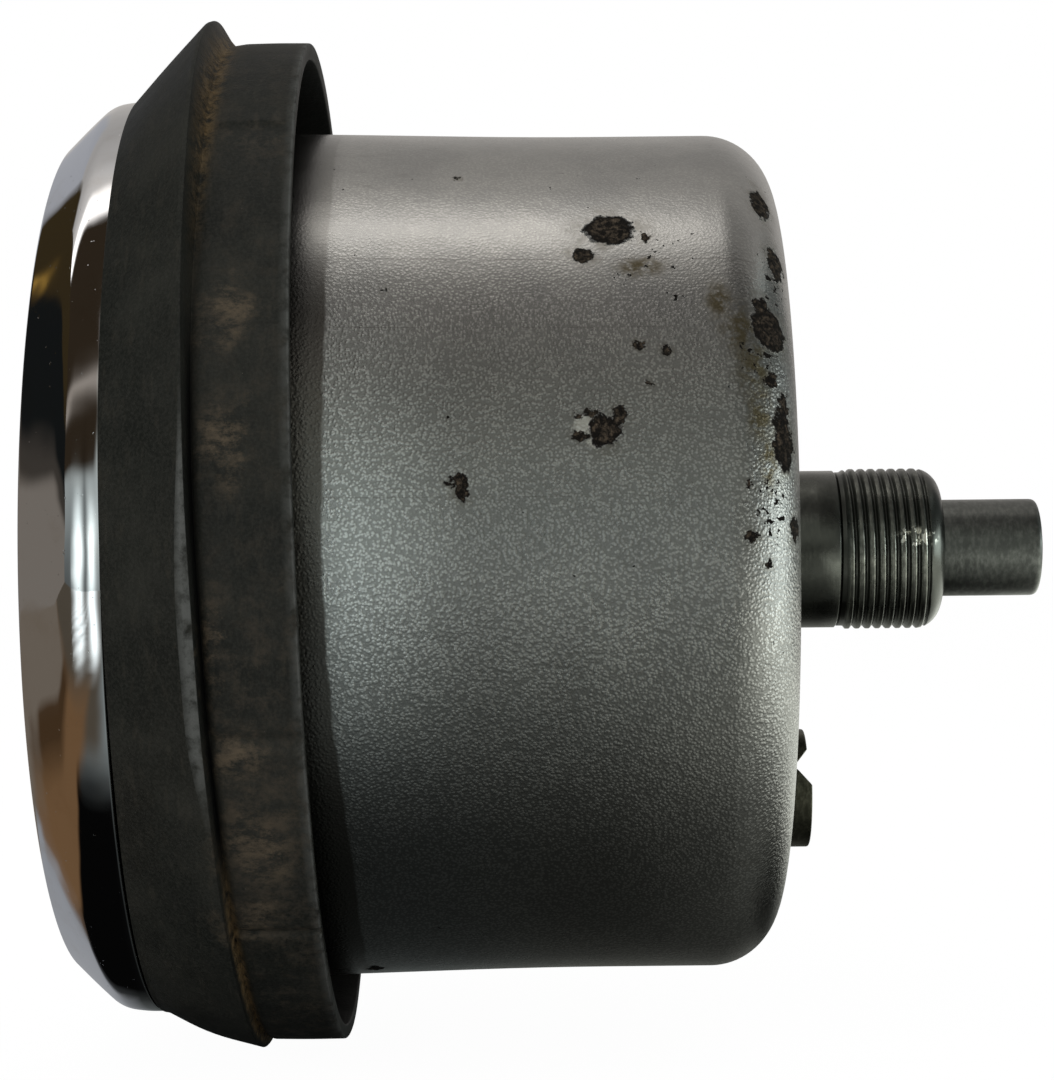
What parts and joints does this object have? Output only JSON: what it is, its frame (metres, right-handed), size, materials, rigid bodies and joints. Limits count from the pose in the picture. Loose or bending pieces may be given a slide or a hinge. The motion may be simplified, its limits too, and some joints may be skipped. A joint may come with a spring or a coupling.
{
  "type": "tachometer",
  "caption": "Round panel tachometer with a drawn steel can, chrome bezel, rubber panel ring, threaded cable drive and a magnetic drag-cup movement.",
  "frame": {"origin": "on the instrument's axis, in the plane of the panel seat at the rear of the rubber lip", "axes": "+Y along the axis from the dial to the drive, +Z towards the dial's 12 o'clock, +X to the right as the dial is read"},
  "size_m": [0.1408, 0.1315, 0.1408],
  "materials": {
    "zinc_plated_steel": "satin zinc plate, spotted with rust",
    "bezel_chrome": "polished chrome plate",
    "clear_glass": "clear flat glass",
    "black_rubber": "aged matte black rubber",
    "dial_black": "matte black paint with white figures",
    "boss_steel": "oil-blackened turned steel",
    "bright_steel": "turned steel",
    "screw_steel": "dull dark steel",
    "spring_steel": "blued spring steel",
    "movement_brass": "satin brass",
    "bearing_bronze": "sintered bronze",
    "magnet_iron": "dark cast magnet alloy",
    "jewel_red": "polished synthetic ruby",
    "cup_aluminium": "thin spun aluminium",
    "red_fibre": "vulcanised fibre",
    "lamp_brass": "darkened, olive-brown brass",
    "pointer_white": "off-white enamel",
    "cap_black": "glossy black"
  },
  "bodies": {
    "housing": {"case_can": "zinc_plated_steel", "bezel": "bezel_chrome", "glass": "clear_glass", "glass_gasket": "black_rubber", "dial_hood": "dial_black", "dial_plate": "dial_black", "dial_screws": "bright_steel", "dial_posts": "movement_brass", "front_plate": "movement_brass", "rear_plate": "movement_brass", "pillars": "movement_brass", "front_jewel": "jewel_red", "regulator_arm": "bright_steel", "hairspring_stud": "movement_brass", "hairspring": "spring_steel", "stop_pin": "bright_steel", "drive_boss": "boss_steel", "boss_gasket": "red_fibre", "case_screws": "screw_steel", "front_bush": "bearing_bronze", "spigot_tube": "boss_steel", "rear_bush": "bearing_bronze", "thrust_washer": "bright_steel", "lamp_ferrule": "lamp_brass", "panel_ring": "black_rubber"},
    "drive_assembly": {"drive_spindle": "bright_steel", "circlip": "screw_steel", "magnet_hub": "movement_brass", "magnet": "magnet_iron", "flux_cup": "bright_steel", "nose_jewel": "jewel_red"},
    "pointer_assembly": {"pointer_staff": "bright_steel", "hairspring_collet": "movement_brass", "cup_hub": "movement_brass", "drag_cup": "cup_aluminium", "pointer": "pointer_white", "pointer_cap": "cap_black"}
  },
  "joints": [
    {"name": "drive_spin", "type": "hinge", "parent": "housing", "child": "drive_assembly", "pos_m": [0, 0.09, 0], "axis": [0, 1, 0], "continuous": true},
    {"name": "pointer_swing", "type": "hinge", "parent": "housing", "child": "pointer_assembly", "pos_m": [0, 0, 0], "axis": [0, 1, 0], "range_deg": [0, 270], "stiffness_Nm_per_rad": 0.0001, "springref_deg": -22.92}
  ]
}
